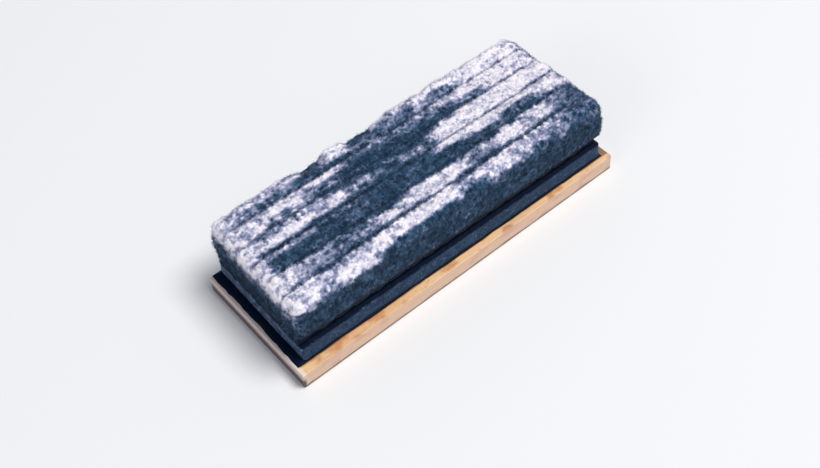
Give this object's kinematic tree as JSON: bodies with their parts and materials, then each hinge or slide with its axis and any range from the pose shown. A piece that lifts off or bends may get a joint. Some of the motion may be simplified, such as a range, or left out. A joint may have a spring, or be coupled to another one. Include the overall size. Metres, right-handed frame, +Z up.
{
  "type": "chalkboard eraser",
  "caption": "Felt chalkboard eraser on a thin wooden back: sewn lengthwise felt strips on a dense felt base, chalk-streaked from use.",
  "frame": {"origin": "middle of the wooden back's underside, on the surface that the eraser lies on", "axes": "+X along the eraser and its felt strips, +Y across it, +Z up out of the rubbing face"},
  "size_m": [0.133, 0.0506, 0.0322],
  "materials": {
    "wood": "sawn and lightly sanded, unvarnished",
    "cement": "dried brown hide glue",
    "base_felt": "dense pressed felt, smooth cut edges",
    "pad_felt": "coarse wool felt, rubbed up to a nap and loaded with chalk",
    "thread": "waxed cotton sewing thread"
  },
  "bodies": {
    "root": {"wood_back": "wood", "lower_cement": "cement", "base_felt": "base_felt", "upper_cement": "cement", "felt_strip_1": "pad_felt", "felt_strip_2": "pad_felt", "felt_strip_3": "pad_felt", "felt_strip_4": "pad_felt", "felt_strip_5": "pad_felt", "felt_strip_6": "pad_felt", "needle_thread": "thread", "bobbin_thread": "thread"}
  },
  "joints": []
}
